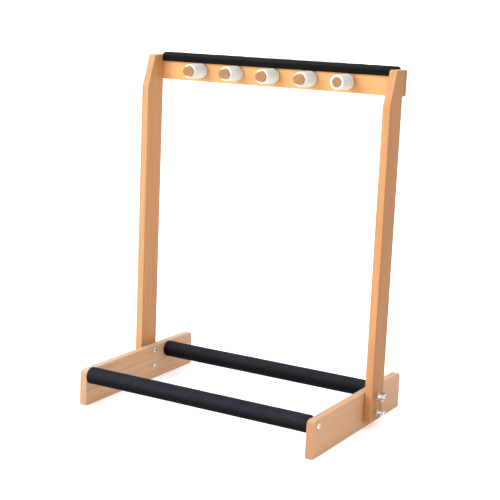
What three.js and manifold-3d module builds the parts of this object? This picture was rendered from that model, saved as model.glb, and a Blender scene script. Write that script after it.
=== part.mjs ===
// Racket display stand in beech: two foot boards on edge, two upright posts bolted to
// their outer faces, a rail with five sleeved pegs behind the posts, and two foam
// covered bars between the feet. Millimetres, +X along the bars, +Y to the back, +Z up.
// The origin is on the floor, under the middle of the stand.

import * as THREE from "three";
import { mergeVertices } from "three/addons/utils/BufferGeometryUtils.js";
import Module from "manifold-3d";

const wasm = await Module();
wasm.setup();

// The whole stand
const INNER_WIDTH = 470; // between the inner faces of the feet
const STAND_HEIGHT = 660; // floor to the tops of the posts
const SEAT_GAP = 0.2; // left between two pieces that are clamped or glued together
const BORE_GAP = 0.3; // all round a piece in its hole
const CUT_OVERRUN = 2; // how far a cutter passes the face that it opens

// Foot boards
const FOOT_THICKNESS = 15;
const FOOT_LENGTH = 370;
const FOOT_HEIGHT = 70;
const FOOT_TOP_CORNER = 10;
const FOOT_BOTTOM_CORNER = 3;

// Edges of every board, rounded over by sandpaper
const EDGE_EASE = 1.5;
const EDGE_SEGMENTS = 2;
const CORNER_SEGMENTS = 4;

// Posts: the rear edge is straight, and the front edge slopes back to a narrower top
const POST_THICKNESS = 15;
const POST_DEPTH = 52;
const POST_TOP_DEPTH = 30;
const POST_SLOPE_HEIGHT = 63;
const POST_FLOOR_CLEARANCE = 13;
const POST_REAR_SETBACK = 115; // from the rear end of the foot to the rear edge of the post
const POST_CORNER = 2;

// Rail behind the posts
const RAIL_THICKNESS = 15;
const RAIL_HEIGHT = 48;
const RAIL_CORNER = 3;

// Foam covered bars between the feet
const BAR_CORE_DIAMETER = 22;
const BAR_FOAM_DIAMETER = 32;
const FRONT_BAR_SETBACK = 16; // from the front end of the foot to the bar's axis
const FRONT_BAR_DROP = 12; // from the top of the foot to the bar's axis
const REAR_BAR_SETBACK = 93; // from the rear end of the foot to the bar's axis
const REAR_BAR_DROP = 16; // from the top of the foot to the bar's axis
const BAR_SIDES = 40;
const FOAM_END_EASE = 1.2; // round the ends of the foam tubes and sleeves

// Foam channel pushed over the top edge of the rail
const COVER_WALL = 5;
const COVER_CORNER = 4.5;
const COVER_SLEEVE_GAP = 0.4; // from the cover's lower edges to the sleeves below them

// Pegs in the rail, each in a foam sleeve that slides on it
const PEG_COUNT = 5;
const PEG_PITCH = 80;
const PEG_DIAMETER = 18;
const PEG_REACH = 56; // out of the front face of the rail
const PEG_SEAT_WALL = 5; // wood left behind each glued peg
const PEG_DROP = 27; // from the top of the rail to the peg's axis
const PEG_END_EASE = 1;
const PEG_SIDES = 36;
const SLEEVE_LENGTH = 44;
const SLEEVE_FRONT_DIAMETER = 27.4;
const SLEEVE_REAR_DIAMETER = 28.4;
// where each sleeve stands in its free travel: 0 against the rail, 1 flush with the peg's end
const SLEEVE_PLACE_SHARES = [0.15, 0, 0.2, 0.1, 1];

// Post bolts, with domed socket heads on the feet and wing nuts on the posts
const BOLT_DIAMETER = 5;
const BOLT_END_REACH = 6.5; // past the nut
const UPPER_BOLT_DROP = 10; // from the top of the foot
const LOWER_BOLT_RISE = 15; // from the bottom of the post
const BOLT_HEAD_DIAMETER = 10;
const BOLT_HEAD_HEIGHT = 3;
const BOLT_HEAD_RIM = 0.8;
const SOCKET_WIDTH = 3; // across the flats
const SOCKET_DEPTH = 1.6;
const BOLT_TIP_EASE = 0.6;
const BOLT_SIDES = 24;
const WASHER_DIAMETER = 12;
const WASHER_THICKNESS = 1.2;

// Wing nuts
const NUT_BASE_DIAMETER = 10;
const NUT_TOP_DIAMETER = 8;
const NUT_HEIGHT = 6.5;
const WING_SPAN = 20;
const WING_HEIGHT = 12.5;
const WING_LOBE_RADIUS = 3;
const WING_THICKNESS = 2.4;
const WING_EASE = 0.5;
const WING_ROOT_HEIGHT = 1.2;
// how far each pair of wings is turned from upright, top leaning to the back
const UPPER_WING_TURN = THREE.MathUtils.degToRad(48);
const LOWER_WING_TURN = THREE.MathUtils.degToRad(80);

// Bar bolts, which go through the feet into threaded inserts in the bar cores
const INSERT_DIAMETER = 9;
const INSERT_LENGTH = 12;
const INSERT_INSET = 0.5; // how far the insert lies below the core's end
const BAR_BOLT_REACH = 2.1; // past the insert
const POCKET_END_GAP = 5.4; // from the bolt's tip to the bottom of the pocket

// Wood screws through the rail into the rear edges of the posts
const RAIL_SCREW_DIAMETER = 4;
const RAIL_SCREW_LENGTH = 40;
const RAIL_SCREW_HEAD_DIAMETER = 8;
const RAIL_SCREW_HEAD_HEIGHT = 2.4;
const RAIL_SCREW_SPACING = 24;
const RAIL_SCREW_TIP = 4;
const SCREW_SLOT_WIDTH = 1;
const SCREW_SLOT_DEPTH = 1.1;

// Places that several pieces share
const footInnerX = INNER_WIDTH / 2;
const footOuterX = footInnerX + FOOT_THICKNESS;
const postInnerX = footOuterX + SEAT_GAP;
const postOuterX = postInnerX + POST_THICKNESS;
const footFrontY = -FOOT_LENGTH / 2;
const footRearY = FOOT_LENGTH / 2;
const postRearY = footRearY - POST_REAR_SETBACK;
const postFrontY = postRearY - POST_DEPTH;
const boltY = (postFrontY + postRearY) / 2;
const railFrontY = postRearY + SEAT_GAP;
const railBottomZ = STAND_HEIGHT - RAIL_HEIGHT;
const pegZ = STAND_HEIGHT - PEG_DROP;
const coverBottomZ = pegZ + SLEEVE_REAR_DIAMETER / 2 + COVER_SLEEVE_GAP;
const frontBarY = footFrontY + FRONT_BAR_SETBACK;
const rearBarY = footRearY - REAR_BAR_SETBACK;
const boltHoleRadius = BOLT_DIAMETER / 2 + BORE_GAP;
const boltHeadX = footInnerX - SEAT_GAP;
const nutSeatX = postOuterX + SEAT_GAP + WASHER_THICKNESS + SEAT_GAP;
const postBoltLength = nutSeatX + NUT_HEIGHT + BOLT_END_REACH - boltHeadX;
const barEndX = footInnerX - SEAT_GAP;
const insertOuterX = barEndX - INSERT_INSET;
const insertInnerX = insertOuterX - INSERT_LENGTH;
const barBoltHeadX = footOuterX + SEAT_GAP;
const barBoltLength = barBoltHeadX - insertInnerX + BAR_BOLT_REACH;
const pocketBottomX = barBoltHeadX - barBoltLength - POCKET_END_GAP;
const pegSeatDepth = RAIL_THICKNESS - PEG_SEAT_WALL;
const sleeveTravel = PEG_REACH - SLEEVE_LENGTH - BORE_GAP;
const railScrewX = (postInnerX + postOuterX) / 2;
const railScrewZs = [-1, 1].map((side) =>
  railBottomZ + RAIL_HEIGHT / 2 + side * RAIL_SCREW_SPACING / 2);

const bars = [
  { name: "front", y: frontBarY, z: FOOT_HEIGHT - FRONT_BAR_DROP },
  { name: "rear", y: rearBarY, z: FOOT_HEIGHT - REAR_BAR_DROP },
];
const postBolts = [
  { name: "upper", z: FOOT_HEIGHT - UPPER_BOLT_DROP, turn: UPPER_WING_TURN },
  { name: "lower", z: POST_FLOOR_CLEARANCE + LOWER_BOLT_RISE, turn: LOWER_WING_TURN },
];
const sides = [
  { name: "left", sign: -1 },
  { name: "right", sign: 1 },
];

// Materials
const material = (color, roughness, metalness = 0) =>
  new THREE.MeshStandardMaterial({ color, roughness, metalness });
const beech = material(0xe2ad76, 0.55);
const blackFoam = material(0x1b1c20, 0.85);
const whiteFoam = material(0xeeefec, 0.8);
const zincSteel = material(0xc9c9c6, 0.32, 1);
const insertBrass = material(0xb99a52, 0.4, 1);

// Cuts and joins
function toSolid(geometry) {
  const bare = geometry.clone();
  bare.deleteAttribute("normal");
  bare.deleteAttribute("uv");
  const merged = mergeVertices(bare);
  return new wasm.Manifold(new wasm.Mesh({
    numProp: 3,
    vertProperties: new Float32Array(merged.attributes.position.array),
    triVerts: new Uint32Array(merged.index.array),
  }));
}

function toGeometry(solid) {
  const { vertProperties, triVerts } = solid.getMesh();
  const geometry = new THREE.BufferGeometry();
  geometry.setAttribute("position", new THREE.BufferAttribute(vertProperties, 3));
  geometry.setIndex(new THREE.BufferAttribute(triVerts, 1));
  const faceted = geometry.toNonIndexed();
  faceted.computeVertexNormals();
  return faceted;
}

function cut(geometry, cutters) {
  const start = toSolid(geometry);
  return toGeometry(cutters.reduce((left, cutter) => left.subtract(toSolid(cutter)), start));
}

// Shapes that several pieces use
function roundedOutline(corners) {
  // corners is a list of { x, y, r }, anticlockwise
  const shape = new THREE.Shape();
  corners.forEach((corner, i) => {
    const here = new THREE.Vector2(corner.x, corner.y);
    const before = corners[(i + corners.length - 1) % corners.length];
    const after = corners[(i + 1) % corners.length];
    const back = new THREE.Vector2(before.x, before.y).sub(here).normalize();
    const ahead = new THREE.Vector2(after.x, after.y).sub(here).normalize();
    const half = Math.acos(THREE.MathUtils.clamp(back.dot(ahead), -1, 1)) / 2;
    const centre = here.clone().addScaledVector(
      back.clone().add(ahead).normalize(), corner.r / Math.sin(half));
    const reach = corner.r / Math.tan(half);
    const start = here.clone().addScaledVector(back, reach).sub(centre);
    const end = here.clone().addScaledVector(ahead, reach).sub(centre);
    shape.absarc(centre.x, centre.y, corner.r, start.angle(), end.angle(), false);
  });
  return shape;
}

function easedBoard(shape, thickness) {
  const geometry = new THREE.ExtrudeGeometry(shape, {
    depth: thickness - 2 * EDGE_EASE,
    bevelThickness: EDGE_EASE,
    bevelSize: EDGE_EASE,
    bevelOffset: -EDGE_EASE,
    bevelSegments: EDGE_SEGMENTS,
    curveSegments: CORNER_SEGMENTS,
  });
  return geometry.translate(0, 0, EDGE_EASE);
}

// Turns an outline drawn in Y and Z so that its thickness runs along +X from x
function boardAcrossX(geometry, x) {
  const turn = new THREE.Matrix4().makeBasis(
    new THREE.Vector3(0, 1, 0), new THREE.Vector3(0, 0, 1), new THREE.Vector3(1, 0, 0));
  return geometry.applyMatrix4(turn).translate(x, 0, 0);
}

// Turns an outline drawn in X and Z so that its thickness runs along +Y to y
function boardAcrossY(geometry, y) {
  return geometry.rotateX(Math.PI / 2).translate(0, y, 0);
}

function rodAlongX(radius, x0, x1, y, z, segments = BOLT_SIDES) {
  const rod = new THREE.CylinderGeometry(radius, radius, x1 - x0, segments);
  return rod.rotateZ(Math.PI / 2).translate((x0 + x1) / 2, y, z);
}

function rodAlongY(radius, y0, y1, x, z, segments = BOLT_SIDES) {
  const rod = new THREE.CylinderGeometry(radius, radius, y1 - y0, segments);
  return rod.translate(x, (y0 + y1) / 2, z);
}

// A profile of [radius, height] points turned round its own +Y axis, bottom to top
function turned(points, segments) {
  const profile = points.map(([radius, height]) => new THREE.Vector2(radius, height));
  return new THREE.LatheGeometry(profile, segments);
}

// A tube turned round its own +Y axis, with eased ends
function turnedTube(innerRadius, bottomRadius, topRadius, length, ease, segments) {
  return turned([
    [innerRadius, 0],
    [bottomRadius - ease, 0],
    [bottomRadius, ease],
    [topRadius, length - ease],
    [topRadius - ease, length],
    [innerRadius, length],
    [innerRadius, 0],
  ], segments);
}

const stand = new THREE.Group();
stand.name = "racket_display_stand";

function add(name, geometry, finish, parent = stand) {
  const mesh = new THREE.Mesh(geometry, finish);
  mesh.name = name;
  parent.add(mesh);
  return mesh;
}

// Feet
function footGeometry(side) {
  const outline = roundedOutline([
    { x: footFrontY, y: 0, r: FOOT_BOTTOM_CORNER },
    { x: footRearY, y: 0, r: FOOT_BOTTOM_CORNER },
    { x: footRearY, y: FOOT_HEIGHT, r: FOOT_TOP_CORNER },
    { x: footFrontY, y: FOOT_HEIGHT, r: FOOT_TOP_CORNER },
  ]);
  const innerEdge = side.sign < 0 ? -footOuterX : footInnerX;
  const board = boardAcrossX(easedBoard(outline, FOOT_THICKNESS), innerEdge);
  const holes = [...bars, ...postBolts.map(({ z }) => ({ y: boltY, z }))];
  return cut(board, holes.map(({ y, z }) => rodAlongX(
    boltHoleRadius, innerEdge - CUT_OVERRUN, innerEdge + FOOT_THICKNESS + CUT_OVERRUN, y, z)));
}

// Posts
function postGeometry(side) {
  const outline = roundedOutline([
    { x: postFrontY, y: POST_FLOOR_CLEARANCE, r: POST_CORNER },
    { x: postRearY, y: POST_FLOOR_CLEARANCE, r: POST_CORNER },
    { x: postRearY, y: STAND_HEIGHT, r: POST_CORNER },
    { x: postRearY - POST_TOP_DEPTH, y: STAND_HEIGHT, r: POST_CORNER },
    { x: postFrontY, y: STAND_HEIGHT - POST_SLOPE_HEIGHT, r: POST_CORNER },
  ]);
  const leftFace = side.sign < 0 ? -postOuterX : postInnerX;
  const board = boardAcrossX(easedBoard(outline, POST_THICKNESS), leftFace);
  const boltHoles = postBolts.map(({ z }) => rodAlongX(
    boltHoleRadius, leftFace - CUT_OVERRUN, leftFace + POST_THICKNESS + CUT_OVERRUN, boltY, z));
  const screwReach = RAIL_SCREW_LENGTH - RAIL_THICKNESS;
  const screwHoles = railScrewZs.map((z) => rodAlongY(
    RAIL_SCREW_DIAMETER / 2 + BORE_GAP, postRearY - screwReach, postRearY + CUT_OVERRUN,
    side.sign * railScrewX, z));
  return cut(board, [...boltHoles, ...screwHoles]);
}

// Rail, with blind holes for the pegs and countersunk holes for its screws
function countersink(x, z) {
  const hole = RAIL_SCREW_DIAMETER / 2 + BORE_GAP;
  const mouth = RAIL_SCREW_HEAD_DIAMETER / 2 + BORE_GAP;
  const slope = mouth - hole;
  const cutter = turned([
    [0, -RAIL_THICKNESS - CUT_OVERRUN],
    [hole, -RAIL_THICKNESS - CUT_OVERRUN],
    [hole, -RAIL_SCREW_HEAD_HEIGHT - BORE_GAP],
    [mouth, -RAIL_SCREW_HEAD_HEIGHT - BORE_GAP + slope],
    [mouth, CUT_OVERRUN],
    [0, CUT_OVERRUN],
  ], BOLT_SIDES);
  return cutter.translate(x, railFrontY + RAIL_THICKNESS, z);
}

function pegX(index) {
  return (index - (PEG_COUNT - 1) / 2) * PEG_PITCH;
}

function railGeometry() {
  const outline = roundedOutline([
    { x: -postOuterX, y: railBottomZ, r: RAIL_CORNER },
    { x: postOuterX, y: railBottomZ, r: RAIL_CORNER },
    { x: postOuterX, y: STAND_HEIGHT, r: RAIL_CORNER },
    { x: -postOuterX, y: STAND_HEIGHT, r: RAIL_CORNER },
  ]);
  const board = boardAcrossY(easedBoard(outline, RAIL_THICKNESS), railFrontY + RAIL_THICKNESS);
  const pegHoles = Array.from({ length: PEG_COUNT }, (_, i) => rodAlongY(
    PEG_DIAMETER / 2 + BORE_GAP, railFrontY - CUT_OVERRUN,
    railFrontY + pegSeatDepth + SEAT_GAP, pegX(i), pegZ, PEG_SIDES));
  const screwHoles = sides.flatMap(({ sign }) =>
    railScrewZs.map((z) => countersink(sign * railScrewX, z)));
  return cut(board, [...pegHoles, ...screwHoles]);
}

// Bars: a beech core with a pocket in each end, and a foam tube on it
function barCoreGeometry({ y, z }) {
  const core = rodAlongX(BAR_CORE_DIAMETER / 2, -barEndX, barEndX, y, z, BAR_SIDES);
  const pocket = INSERT_DIAMETER / 2 + BORE_GAP;
  return cut(core, [
    rodAlongX(pocket, pocketBottomX, barEndX + CUT_OVERRUN, y, z),
    rodAlongX(pocket, -barEndX - CUT_OVERRUN, -pocketBottomX, y, z),
  ]);
}

function barFoamGeometry() {
  const radius = BAR_FOAM_DIAMETER / 2;
  const tube = turnedTube(
    BAR_CORE_DIAMETER / 2 + BORE_GAP, radius, radius, 2 * barEndX, FOAM_END_EASE, BAR_SIDES);
  return tube.translate(0, -barEndX, 0);
}

// Foam channel on the rail's top edge: an outline in Y and Z, drawn out along X
function railCoverGeometry() {
  const inner = RAIL_THICKNESS / 2 + BORE_GAP;
  const outer = inner + COVER_WALL;
  const top = STAND_HEIGHT + BORE_GAP + COVER_WALL;
  const roof = STAND_HEIGHT + BORE_GAP;
  const shape = new THREE.Shape();
  shape.moveTo(-outer, coverBottomZ);
  shape.lineTo(-inner, coverBottomZ);
  shape.lineTo(-inner, roof);
  shape.lineTo(inner, roof);
  shape.lineTo(inner, coverBottomZ);
  shape.lineTo(outer, coverBottomZ);
  shape.absarc(outer - COVER_CORNER, top - COVER_CORNER, COVER_CORNER, 0, Math.PI / 2, false);
  shape.absarc(
    COVER_CORNER - outer, top - COVER_CORNER, COVER_CORNER, Math.PI / 2, Math.PI, false);
  const length = 2 * (postInnerX - SEAT_GAP);
  const channel = new THREE.ExtrudeGeometry(shape, {
    depth: length, bevelEnabled: false, curveSegments: CORNER_SEGMENTS,
  });
  return boardAcrossX(channel, -length / 2).translate(0, railFrontY + RAIL_THICKNESS / 2, 0);
}

// Pegs and sleeves
function pegGeometry() {
  const radius = PEG_DIAMETER / 2;
  return turned([
    [0, -PEG_REACH],
    [radius - PEG_END_EASE, -PEG_REACH],
    [radius, -PEG_REACH + PEG_END_EASE],
    [radius, pegSeatDepth],
    [0, pegSeatDepth],
  ], PEG_SIDES);
}

function sleeveGeometry() {
  return turnedTube(
    PEG_DIAMETER / 2 + BORE_GAP, SLEEVE_FRONT_DIAMETER / 2, SLEEVE_REAR_DIAMETER / 2,
    SLEEVE_LENGTH, FOAM_END_EASE, PEG_SIDES);
}

// Bolts: along their own +Y, with the underside of the head at zero
function boltGeometry(length) {
  const head = BOLT_HEAD_DIAMETER / 2;
  const shank = BOLT_DIAMETER / 2;
  const domeSteps = 5;
  const crown = Array.from({ length: domeSteps + 1 }, (_, i) => {
    const angle = (i / domeSteps) * (Math.PI / 2);
    const rise = (BOLT_HEAD_HEIGHT - BOLT_HEAD_RIM) * Math.cos(angle);
    return [head * Math.sin(angle), -BOLT_HEAD_RIM - rise];
  });
  const blank = turned([
    ...crown,
    [head, 0],
    [shank, 0],
    [shank, length - BOLT_TIP_EASE],
    [shank - BOLT_TIP_EASE, length],
    [0, length],
  ], BOLT_SIDES);
  const hexagonSides = 6;
  const socket = new THREE.CylinderGeometry(
    SOCKET_WIDTH / Math.sqrt(3), SOCKET_WIDTH / Math.sqrt(3),
    SOCKET_DEPTH + CUT_OVERRUN, hexagonSides);
  socket.translate(0, -BOLT_HEAD_HEIGHT + (SOCKET_DEPTH - CUT_OVERRUN) / 2, 0);
  return cut(blank, [socket]);
}

function washerGeometry() {
  const outer = WASHER_DIAMETER / 2;
  return turned([
    [boltHoleRadius, 0],
    [outer, 0],
    [outer, WASHER_THICKNESS],
    [boltHoleRadius, WASHER_THICKNESS],
    [boltHoleRadius, 0],
  ], BOLT_SIDES);
}

// Wing nut: its seat at zero, and its wings spread along its own X
function wingGeometry() {
  const lobeX = WING_SPAN / 2 - WING_LOBE_RADIUS;
  const lobeY = WING_HEIGHT - WING_LOBE_RADIUS;
  const root = NUT_TOP_DIAMETER / 2 - WING_THICKNESS / 2;
  const wing = new THREE.Shape();
  wing.moveTo(root, WING_ROOT_HEIGHT);
  wing.quadraticCurveTo(
    WING_SPAN / 2, NUT_HEIGHT / 2, WING_SPAN / 2, lobeY);
  wing.absarc(lobeX, lobeY, WING_LOBE_RADIUS, 0, Math.PI, false);
  wing.lineTo(root, NUT_HEIGHT - WING_EASE);
  const plate = new THREE.ExtrudeGeometry(wing, {
    depth: WING_THICKNESS - 2 * WING_EASE,
    bevelThickness: WING_EASE,
    bevelSize: WING_EASE,
    bevelOffset: -WING_EASE,
    bevelSegments: 1,
    curveSegments: CORNER_SEGMENTS,
  });
  return plate.translate(0, 0, WING_EASE - WING_THICKNESS / 2);
}

function wingNutGeometry() {
  const hub = turned([
    [0, 0],
    [NUT_BASE_DIAMETER / 2, 0],
    [NUT_BASE_DIAMETER / 2, WING_ROOT_HEIGHT],
    [NUT_TOP_DIAMETER / 2, NUT_HEIGHT],
    [0, NUT_HEIGHT],
  ], BOLT_SIDES);
  const wing = toSolid(wingGeometry());
  const otherWing = toSolid(wingGeometry().rotateY(Math.PI));
  const bore = new THREE.CylinderGeometry(
    boltHoleRadius, boltHoleRadius, NUT_HEIGHT + 2 * CUT_OVERRUN, BOLT_SIDES);
  bore.translate(0, NUT_HEIGHT / 2, 0);
  return toGeometry(toSolid(hub).add(wing).add(otherWing).subtract(toSolid(bore)));
}

function insertGeometry() {
  const outer = INSERT_DIAMETER / 2;
  return turned([
    [boltHoleRadius, 0],
    [outer, 0],
    [outer, INSERT_LENGTH],
    [boltHoleRadius, INSERT_LENGTH],
    [boltHoleRadius, 0],
  ], BOLT_SIDES);
}

// Countersunk wood screw: along its own +Y, with its head's flat face at zero
function railScrewGeometry() {
  const shank = RAIL_SCREW_DIAMETER / 2;
  const head = RAIL_SCREW_HEAD_DIAMETER / 2;
  const blank = turned([
    [0, 0],
    [head, 0],
    [shank, RAIL_SCREW_HEAD_HEIGHT],
    [shank, RAIL_SCREW_LENGTH - RAIL_SCREW_TIP],
    [0, RAIL_SCREW_LENGTH],
  ], BOLT_SIDES);
  const slots = [0, Math.PI / 2].map((turn) => new THREE.BoxGeometry(
    head, 2 * SCREW_SLOT_DEPTH, SCREW_SLOT_WIDTH).rotateY(turn));
  return cut(blank, slots);
}

// A group whose own +Y points out of the stand on the given side
function sideGroup(side, x, y, z) {
  const group = new THREE.Group();
  group.position.set(side.sign * x, y, z);
  group.rotation.z = -side.sign * Math.PI / 2;
  stand.add(group);
  return group;
}

// Assembly
for (const side of sides) {
  add(`${side.name}_foot`, footGeometry(side), beech);
  add(`${side.name}_post`, postGeometry(side), beech);
}
add("top_rail", railGeometry(), beech);
add("rail_foam_cover", railCoverGeometry(), blackFoam);

for (const bar of bars) {
  add(`${bar.name}_bar_core`, barCoreGeometry(bar), beech);
  const foam = add(`${bar.name}_bar_foam`, barFoamGeometry(), blackFoam);
  foam.rotation.z = Math.PI / 2;
  foam.position.set(0, bar.y, bar.z);
}

for (let i = 0; i < PEG_COUNT; i += 1) {
  const peg = add(`peg_${i + 1}`, pegGeometry(), beech);
  peg.position.set(pegX(i), railFrontY, pegZ);
  const sleeve = add(`peg_sleeve_${i + 1}`, sleeveGeometry(), whiteFoam);
  const placeShare = SLEEVE_PLACE_SHARES[i % SLEEVE_PLACE_SHARES.length];
  const rearGap = BORE_GAP + placeShare * sleeveTravel;
  sleeve.position.set(pegX(i), railFrontY - rearGap - SLEEVE_LENGTH, pegZ);
}

for (const side of sides) {
  for (const bolt of postBolts) {
    const place = `${side.name}_${bolt.name}`;
    const head = sideGroup(side, boltHeadX, boltY, bolt.z);
    add(`${place}_bolt`, boltGeometry(postBoltLength), zincSteel, head);
    const washerSeat = sideGroup(side, postOuterX + SEAT_GAP, boltY, bolt.z);
    add(`${place}_washer`, washerGeometry(), zincSteel, washerSeat);
    const nutSeat = sideGroup(side, nutSeatX, boltY, bolt.z);
    const nut = add(`${place}_wing_nut`, wingNutGeometry(), zincSteel, nutSeat);
    nut.rotation.y = side.sign * (Math.PI / 2 - bolt.turn);
  }
  for (const bar of bars) {
    const place = `${side.name}_${bar.name}`;
    const inward = { name: side.name, sign: -side.sign };
    const head = sideGroup(inward, -barBoltHeadX, bar.y, bar.z);
    add(`${place}_bar_bolt`, boltGeometry(barBoltLength), zincSteel, head);
    const seat = sideGroup(inward, -insertOuterX, bar.y, bar.z);
    add(`${place}_insert`, insertGeometry(), insertBrass, seat);
  }
  railScrewZs.forEach((z, i) => {
    const screw = add(
      `${side.name}_rail_screw_${i + 1}`, railScrewGeometry(), zincSteel);
    screw.rotation.z = Math.PI;
    screw.position.set(side.sign * railScrewX, railFrontY + RAIL_THICKNESS, z);
  });
}

export default stand;
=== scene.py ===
# %% [markdown]
# # A racket display stand
#
# The stand is a knock-down frame of light beech boards. Two boards on edge are its feet,
# two posts are bolted to them, and a rail behind the posts carries five pegs in soft
# white sleeves. Black foam covers the rail's top edge and the two bars between the feet.
# Every piece is placed by the measured model that is loaded first, in metres, with +X to
# the right, +Y to the back and +Z up. This lesson gives those pieces their fine shapes
# and their finishes.

# %% Load the measured model
import math

import bmesh
import bpy
from mathutils import Matrix, Vector, noise


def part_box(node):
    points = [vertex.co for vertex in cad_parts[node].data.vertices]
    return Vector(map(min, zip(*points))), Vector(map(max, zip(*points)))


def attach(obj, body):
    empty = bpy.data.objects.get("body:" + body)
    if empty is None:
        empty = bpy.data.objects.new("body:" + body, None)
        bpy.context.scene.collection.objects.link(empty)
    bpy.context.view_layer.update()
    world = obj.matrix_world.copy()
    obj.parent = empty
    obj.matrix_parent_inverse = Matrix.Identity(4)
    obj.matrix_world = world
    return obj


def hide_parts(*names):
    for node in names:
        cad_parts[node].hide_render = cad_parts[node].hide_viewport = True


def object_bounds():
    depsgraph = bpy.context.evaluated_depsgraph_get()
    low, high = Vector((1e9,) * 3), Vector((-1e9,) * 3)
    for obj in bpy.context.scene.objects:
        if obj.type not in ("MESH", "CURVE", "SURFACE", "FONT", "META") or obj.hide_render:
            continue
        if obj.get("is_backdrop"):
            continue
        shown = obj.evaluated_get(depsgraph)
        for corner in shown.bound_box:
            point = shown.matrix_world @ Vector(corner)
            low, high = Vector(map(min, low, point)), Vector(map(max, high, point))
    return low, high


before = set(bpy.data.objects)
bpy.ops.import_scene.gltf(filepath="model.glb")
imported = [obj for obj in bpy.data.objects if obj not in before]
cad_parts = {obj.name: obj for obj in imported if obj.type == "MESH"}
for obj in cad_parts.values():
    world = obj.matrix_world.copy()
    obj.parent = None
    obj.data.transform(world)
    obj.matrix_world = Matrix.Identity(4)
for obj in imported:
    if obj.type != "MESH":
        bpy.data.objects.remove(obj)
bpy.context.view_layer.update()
scene = bpy.context.scene

# %% [markdown]
# ## The camera
#
# A product photograph is framed from a little above, in front and to the right. The
# camera's place and angles were solved from the edges of the boards, so they are kept as
# real sizes: where it stands, where it looks, how far it is tipped, and its lens.

# %% Camera
CAMERA_PLACE = Vector((1.1344, -1.9899, 0.7529))
CAMERA_AZIMUTH = math.radians(29.585)
CAMERA_ELEVATION = math.radians(10.998)
CAMERA_ROLL = math.radians(2.467)
CAMERA_LENS_MM = 88.74
CAMERA_SENSOR_MM = 36
CAMERA_REACH = 200


def camera_turn(azimuth, elevation, roll):
    """A camera's rotation: azimuth 0 looks along +Y, and roll tips its top to its right."""
    back = Vector((math.sin(azimuth) * math.cos(elevation),
                   -math.cos(azimuth) * math.cos(elevation),
                   math.sin(elevation)))
    right = Vector((0, 0, 1)).cross(back).normalized()
    up = back.cross(right)
    tipped_right = right * math.cos(roll) + up * math.sin(roll)
    tipped_up = up * math.cos(roll) - right * math.sin(roll)
    return Matrix((tipped_right, tipped_up, back)).transposed()


def add_object(name, data):
    """An object in the scene that holds a camera, a lamp or a mesh."""
    made = bpy.data.objects.new(name, data)
    scene.collection.objects.link(made)
    return made


camera = add_object("camera", bpy.data.cameras.new("camera"))
camera.data.lens = CAMERA_LENS_MM
camera.data.sensor_width = CAMERA_SENSOR_MM
camera.data.clip_end = CAMERA_REACH
camera.matrix_world = (Matrix.Translation(CAMERA_PLACE)
                       @ camera_turn(CAMERA_AZIMUTH, CAMERA_ELEVATION, CAMERA_ROLL).to_4x4())
scene.camera = camera
print("camera stands", round(CAMERA_PLACE.length, 2), "m from the origin")

# %% [markdown]
# ## Studio light
#
# The photograph has a pure white ground and soft shadows, so a bright white world lights
# the stand from all round. One very wide lamp, up and to the left of the camera, makes
# the faces towards it lighter than those that look to the right. Both are plain. The
# floor is a pale sheet, lit a little from behind as on a light table, that is large
# enough to reach the horizon.

# %% Lights and floor
WORLD_BRIGHTNESS = 1.2
KEY_STRENGTH = 2.75
KEY_SPREAD = math.radians(45)
KEY_FROM = Vector((-0.45, -0.78, 0.43))
FLOOR_REACH = 60.0
FLOOR_GLOW = 0.3

world = bpy.data.worlds.new("studio")
world.use_nodes = True
world.node_tree.nodes["Background"].inputs["Color"].default_value = (1, 1, 1, 1)
world.node_tree.nodes["Background"].inputs["Strength"].default_value = WORLD_BRIGHTNESS
scene.world = world
scene.view_settings.view_transform = "Standard"

key = add_object("key_light", bpy.data.lights.new("key_light", "SUN"))
key.data.energy = KEY_STRENGTH
key.data.angle = KEY_SPREAD
key.rotation_euler = KEY_FROM.to_track_quat("Z", "Y").to_euler()

floor_shape = bmesh.new()
bmesh.ops.create_grid(floor_shape, x_segments=1, y_segments=1, size=FLOOR_REACH)
floor_mesh = bpy.data.meshes.new("floor")
floor_shape.to_mesh(floor_mesh)
floor_shape.free()
floor = add_object("floor", floor_mesh)
floor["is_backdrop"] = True
print("lit from", [round(part, 2) for part in KEY_FROM])

# %% [markdown]
# ## Node trees as arithmetic
#
# A material or a Geometry Nodes tree is a graph of small steps. Wiring each node by hand
# hides the idea, so one class wraps a socket and lets Python's operators add the Math
# nodes, and one method adds any other node. Both kinds of tree have the same Math node,
# so both are written the same way.

# %% Sockets that calculate


class Socket:
    """One output in a node tree. Arithmetic on it adds Math nodes."""

    def __init__(self, graph, output):
        self.graph = graph
        self.output = output

    def __add__(self, other):
        return self.graph.math("ADD", self, other)

    def __sub__(self, other):
        return self.graph.math("SUBTRACT", self, other)

    def __rsub__(self, other):
        return self.graph.math("SUBTRACT", other, self)

    def __mul__(self, other):
        return self.graph.math("MULTIPLY", self, other)

    def __truediv__(self, other):
        return self.graph.math("DIVIDE", self, other)

    def __pow__(self, other):
        return self.graph.math("POWER", self, other)

    __radd__ = __add__
    __rmul__ = __mul__

    def step(self, low, high):
        """0 below low, 1 above high, and a smooth rise between them."""
        return self.graph.node("ShaderNodeMapRange", {"interpolation_type": "SMOOTHSTEP"},
                               {0: self, 1: low, 2: high, 3: 0.0, 4: 1.0})


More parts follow.
